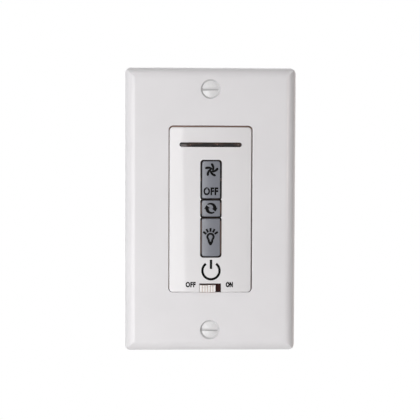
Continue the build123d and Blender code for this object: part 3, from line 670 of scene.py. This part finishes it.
def spiral(start_radius, end_radius, start, end):
    """A path round a centre, from one radius and angle to another."""
    radius = tapered(start_radius, end_radius)
    angle = tapered(start, end)
    return lambda t: radius(t) * Vector((math.cos(angle(t)), math.sin(angle(t))))


def arc(radius, start, end):
    """A path along an arc, from one angle to another."""
    return spiral(radius, radius, start, end)


def draw_fan():
    """Bowed blades round a hub."""
    drawing = bmesh.new()
    width = round_tip(tapered(BLADE_ROOT_WIDTH, BLADE_TIP_WIDTH), BLADE_TIP_START, BLADE_TIP_ROUNDING)
    for n in range(FAN_BLADES):
        turn = Matrix.Rotation(2 * math.pi * n / FAN_BLADES, 2)
        blade = bowed(turn @ BLADE_ROOT, turn @ BLADE_BOW, turn @ BLADE_TIP)
        ribbon(drawing, blade, width, BLADE_STEPS)
    return drawing


def draw_reverse():
    """Two arcs with arrow heads, half a turn apart."""
    drawing = bmesh.new()
    shaft = tapered(REVERSE_TAIL_WIDTH, REVERSE_NECK_WIDTH)
    head = tapered(REVERSE_HEAD_WIDTH, POINT_WIDTH)
    for turn in (0, math.pi):
        path = spiral(REVERSE_TAIL_RADIUS, REVERSE_NECK_RADIUS, turn + REVERSE_TAIL, turn + REVERSE_NECK)
        base, tip = (Matrix.Rotation(turn, 2) @ Vector(p) for p in (REVERSE_HEAD_BASE, REVERSE_HEAD_TIP))
        ribbon(drawing, path, shaft, REVERSE_STEPS)
        ribbon(drawing, straight(base, tip), head, TAPER_STEPS)
    return drawing


def draw_light():
    """A bulb's outline, its cap and its rays."""
    drawing = bmesh.new()
    low = 1.5 * math.pi - BULB_NECK_ANGLE
    high = -0.5 * math.pi + BULB_NECK_ANGLE
    neck_x, neck_y = BULB_NECK
    ribbon(drawing, arc(BULB_RADIUS, low, high), even(BULB_STROKE), BULB_STEPS)
    for side, angle in ((-1, low), (1, high)):
        shoulder = BULB_RADIUS * Vector((math.cos(angle), math.sin(angle)))
        ribbon(drawing, straight(shoulder, (side * neck_x, neck_y)), even(BULB_STROKE), STRAIGHT_STEPS)
    ribbon(drawing, straight((0, neck_y), BULB_CAP_END), tapered(*BULB_CAP_WIDTHS), TAPER_STEPS)
    for angle in RAY_ANGLES:
        out = Vector((math.cos(angle), math.sin(angle)))
        ribbon(drawing, straight(RAY_INNER * out, RAY_OUTER * out), even(RAY_STROKE), STRAIGHT_STEPS)
    return drawing


def draw_power():
    """A ring open at its top, and a bar in the opening."""
    drawing = bmesh.new()
    top = math.pi / 2
    ring = arc(POWER_RADIUS, top + POWER_GAP, top + 2 * math.pi - POWER_GAP)
    low, high = POWER_BAR
    ribbon(drawing, ring, even(POWER_STROKE), POWER_STEPS)
    ribbon(drawing, straight((0, low), (0, high)), even(POWER_STROKE), STRAIGHT_STEPS)
    return drawing


def draw_word(text, size, weight):
    """Block letters, fitted to a width and a height."""
    letters = bpy.data.curves.new("letters", "FONT")
    letters.body = text
    letters.offset = weight
    letters.space_character = LETTER_SPACE
    letters.resolution_u = LETTER_CURVE_STEPS
    writer = bpy.data.objects.new("letters", letters)
    bpy.context.scene.collection.objects.link(writer)
    bpy.context.view_layer.update()
    flat = bpy.data.meshes.new_from_object(writer.evaluated_get(bpy.context.evaluated_depsgraph_get()))
    bpy.data.objects.remove(writer)
    drawing = bmesh.new()
    drawing.from_mesh(flat)
    bmesh.ops.remove_doubles(drawing, verts=drawing.verts, dist=LETTER_MERGE)
    low = [min(v.co[i] for v in drawing.verts) for i in (0, 1)]
    high = [max(v.co[i] for v in drawing.verts) for i in (0, 1)]
    to_middle = [-(a + b) / 2 for a, b in zip(low, high)]
    to_size = [s / (b - a) for s, a, b in zip(size, low, high)]
    bmesh.ops.translate(drawing, verts=drawing.verts, vec=(*to_middle, 0))
    bmesh.ops.scale(drawing, verts=drawing.verts, vec=(*to_size, 1))
    return drawing


def new_piece(name, shape, material, body):
    """Turns a finished bmesh into a piece that rides on a body."""
    bmesh.ops.recalc_face_normals(shape, faces=shape.faces)
    mesh = bpy.data.meshes.new(name)
    shape.to_mesh(mesh)
    shape.free()
    mesh.materials.append(material)
    piece = bpy.data.objects.new(name, mesh)
    bpy.context.scene.collection.objects.link(piece)
    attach(piece, body)


def print_on(name, drawing, node_name, body, place, ink):
    """Prints a drawing on the front of a solid: a thin film of ink that follows its curve."""
    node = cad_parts[node_name]
    centre = middle_of(node_name)
    for vert in drawing.verts:
        x = centre.x + (place[0] + vert.co.x) * MM
        z = centre.z + (place[1] + vert.co.y) * MM
        _, spot, _, _ = node.ray_cast(Vector((x, -PROBE_START, z)), Vector((0, 1, 0)))
        vert.co = (x, spot.y - INK_PROUD, z)
    film = bmesh.ops.extrude_face_region(drawing, geom=drawing.faces[:])
    under = [g for g in film["geom"] if isinstance(g, bmesh.types.BMVert)]
    bmesh.ops.translate(drawing, verts=under, vec=(0, INK_THICKNESS, 0))
    new_piece(name, drawing, ink, body)


def print_front():
    """All the marks on the keys and the face."""
    ink = new_finish("black_ink", roughness=0.6, specular=0.05)
    mottle(ink, INK_BLACK, INK_TONE_SPREAD, noise(ink, INK_TONE_CYCLES))
    print_on("fan_symbol", draw_fan(), "fan_key", "fan_key", FAN_PLACE, ink)
    print_on("reverse_symbol", draw_reverse(), "reverse_key", "reverse_key", REVERSE_PLACE, ink)
    print_on("light_symbol", draw_light(), "light_key", "light_key", LIGHT_PLACE, ink)
    print_on("power_symbol", draw_power(), "face_cover", "control", POWER_PLACE, ink)
    for name, word, node_name, body in (
        ("key_off_word", KEY_OFF_WORD, "fan_key", "fan_key"),
        ("face_off_word", FACE_OFF_WORD, "face_cover", "control"),
        ("face_on_word", FACE_ON_WORD, "face_cover", "control"),
    ):
        drawing = draw_word(word["text"], word["size"], word["weight"])
        print_on(name, drawing, node_name, body, word["place"], ink)


def cut_threads():
    """The thread on the plate screws where they show behind the strap."""
    start_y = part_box("mounting_strap")[1].y + THREAD_CLEAR
    turns = (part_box("plate_screws")[1].y - THREAD_CLEAR - start_y) / THREAD_PITCH
    steps = round(turns * THREAD_STEPS)
    foot = THREAD_FOOT * THREAD_PITCH
    crest = THREAD_CREST_PLACE * THREAD_PITCH
    shape = bmesh.new()
    for centre in screw_axes()[1]:
        ridge = [
            shape.verts.new((THREAD_RADIUS, start_y, centre.z)),
            shape.verts.new((THREAD_RADIUS, start_y + foot, centre.z)),
            shape.verts.new((THREAD_RADIUS + THREAD_CREST, start_y + crest, centre.z)),
        ]
        bmesh.ops.spin(
            shape,
            geom=[shape.faces.new(ridge)],
            cent=centre,
            axis=(0, 1, 0),
            dvec=(0, (turns - THREAD_FOOT) * THREAD_PITCH / steps, 0),
            angle=2 * math.pi * turns,
            steps=steps,
        )
    steel = plated_metal("zinc_thread", ZINC, roughness=0.30, stretch=(1, 1, 1))
    new_piece("plate_screw_threads", shape, steel, "control")


def floor_finish():
    """A pale matt surface that turns clear between two distances from its middle."""
    material = bpy.data.materials.new("pale_floor")
    material.use_nodes = True
    material.node_tree.nodes.clear()
    output = add_node(material, "ShaderNodeOutputMaterial")
    pale = add_node(material, "ShaderNodeBsdfDiffuse", Color=FLOOR_COLOUR)
    clear = add_node(material, "ShaderNodeBsdfTransparent")
    mix = add_node(material, "ShaderNodeMixShader")
    place = add_node(material, "ShaderNodeTexCoord")
    reach = add_node(material, "ShaderNodeVectorMath")
    reach.operation = "LENGTH"
    fade = add_node(material, "ShaderNodeMapRange", From_Min=FLOOR_FADE_FROM, From_Max=FLOOR_FADE_TO)
    link(material, place.outputs["Object"], reach.inputs[0])
    link(material, reach.outputs["Value"], fade.inputs["Value"])
    link(material, fade.outputs["Result"], mix.inputs[0])
    link(material, pale.outputs["BSDF"], mix.inputs[1])
    link(material, clear.outputs["BSDF"], mix.inputs[2])
    link(material, mix.outputs["Shader"], output.inputs["Surface"])
    return material


def lay_floor(centre):
    """A pale floor below the control that fades out before its rim."""
    shape = bmesh.new()
    bmesh.ops.create_circle(shape, cap_ends=True, segments=FLOOR_SIDES, radius=FLOOR_RADIUS)
    mesh = bpy.data.meshes.new("floor")
    shape.to_mesh(mesh)
    shape.free()
    mesh.materials.append(floor_finish())
    floor = bpy.data.objects.new("floor", mesh)
    floor.location = (centre.x, centre.y, centre.z - FLOOR_DROP)
    bpy.context.scene.collection.objects.link(floor)


def around(centre, azimuth, elevation, distance):
    """A point at a direction and distance from a centre; azimuth 0 is straight in front."""
    out = Vector((math.sin(azimuth), -math.cos(azimuth), 0)) * math.cos(elevation)
    return centre + (out + Vector((0, 0, math.sin(elevation)))) * distance


def aim(thing, place, target):
    """Puts a lamp or the camera in its place and points it at a target."""
    thing.location = place
    thing.rotation_euler = (target - place).to_track_quat("-Z", "Y").to_euler()


def set_lights(centre):
    """Softboxes of a set radiance, all aimed at the plate."""
    for name, (azimuth, elevation, distance, width, height, radiance, tint) in SOFTBOXES.items():
        lamp = bpy.data.lights.new(name, "AREA")
        lamp.shape = "RECTANGLE"
        lamp.size = width
        lamp.size_y = height
        lamp.energy = radiance * math.pi * width * height
        lamp.color = tint
        softbox = bpy.data.objects.new(name, lamp)
        softbox.visible_camera = False
        aim(softbox, around(centre, azimuth, elevation, distance), centre)
        bpy.context.scene.collection.objects.link(softbox)


def set_room():
    """A white room to the camera and in reflections, and a soft even light everywhere else."""
    world = bpy.data.worlds.new("white_room")
    world.use_nodes = True
    world.node_tree.nodes.clear()
    bpy.context.scene.world = world
    output = add_node(world, "ShaderNodeOutputWorld")
    mix = add_node(world, "ShaderNodeMixShader")
    soft = add_node(world, "ShaderNodeBackground", Color=ROOM_TINT, Strength=ROOM_LIGHT)
    white = add_node(world, "ShaderNodeBackground", Color=(1, 1, 1, 1), Strength=1.0)
    rays = add_node(world, "ShaderNodeLightPath").outputs
    seen = reckon(world, "MAXIMUM", rays["Is Camera Ray"], rays["Is Glossy Ray"])
    seen = reckon(world, "MAXIMUM", seen, rays["Is Transmission Ray"])
    link(world, seen, mix.inputs[0])
    link(world, soft.outputs["Background"], mix.inputs[1])
    link(world, white.outputs["Background"], mix.inputs[2])
    link(world, mix.outputs["Shader"], output.inputs["Surface"])


def set_camera(centre):
    """The photograph's own viewpoint."""
    lens = bpy.data.cameras.new("camera")
    lens.sensor_width = CAMERA_SENSOR_MM
    lens.lens = CAMERA_SENSOR_MM * CAMERA_DISTANCE / PICTURE_WIDTH
    camera = bpy.data.objects.new("camera", lens)
    bpy.context.scene.collection.objects.link(camera)
    target = centre + Vector((AIM_RIGHT_OF_CENTRE, 0, -AIM_BELOW_CENTRE))
    aim(camera, around(target, CAMERA_AZIMUTH, CAMERA_ELEVATION, CAMERA_DISTANCE), target)
    camera.rotation_euler.rotate_axis("Z", CAMERA_ROLL)
    bpy.context.scene.camera = camera


plate_low, plate_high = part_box("wall_plate")
plate_centre = Vector(((plate_low.x + plate_high.x) / 2, plate_high.y, (plate_low.z + plate_high.z) / 2))
bpy.context.scene.view_settings.view_transform = "Standard"
set_camera(plate_centre)
set_room()
set_lights(plate_centre)
lay_floor(plate_centre)
dress_nodes()
print_front()
cut_threads()
